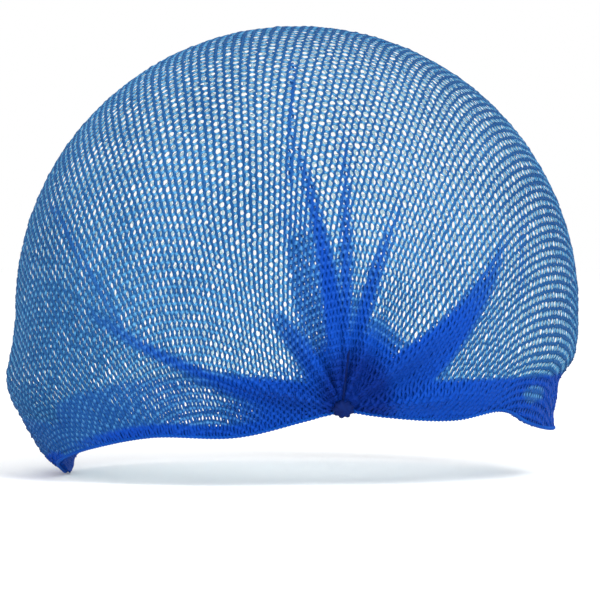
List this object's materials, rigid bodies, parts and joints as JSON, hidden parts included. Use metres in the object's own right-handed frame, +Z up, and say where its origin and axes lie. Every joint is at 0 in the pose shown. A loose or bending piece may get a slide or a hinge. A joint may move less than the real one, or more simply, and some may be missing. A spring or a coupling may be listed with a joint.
{
  "type": "disposable hairnet",
  "caption": "Disposable knitted hairnet in its worn form: a smooth hollow net cap, gathered at one point of a narrow elastic rim.",
  "frame": {"origin": "middle of the rim opening, where the cap sits on a head", "axes": "+X towards the wearer's forehead, along the longest side; +Z up through the crown; -Y is the side with the gather"},
  "size_m": [0.2144, 0.1804, 0.1675],
  "materials": {
    "knitted_net": "fine open knitted nylon net, soft sheen",
    "elastic_hem": "rolled elastic hem, matt",
    "bunched_thread": "bunched thread, matt"
  },
  "bodies": {
    "root": {"crown_net": "knitted_net", "rim_band": "elastic_hem", "gather_knot": "bunched_thread"}
  },
  "joints": []
}
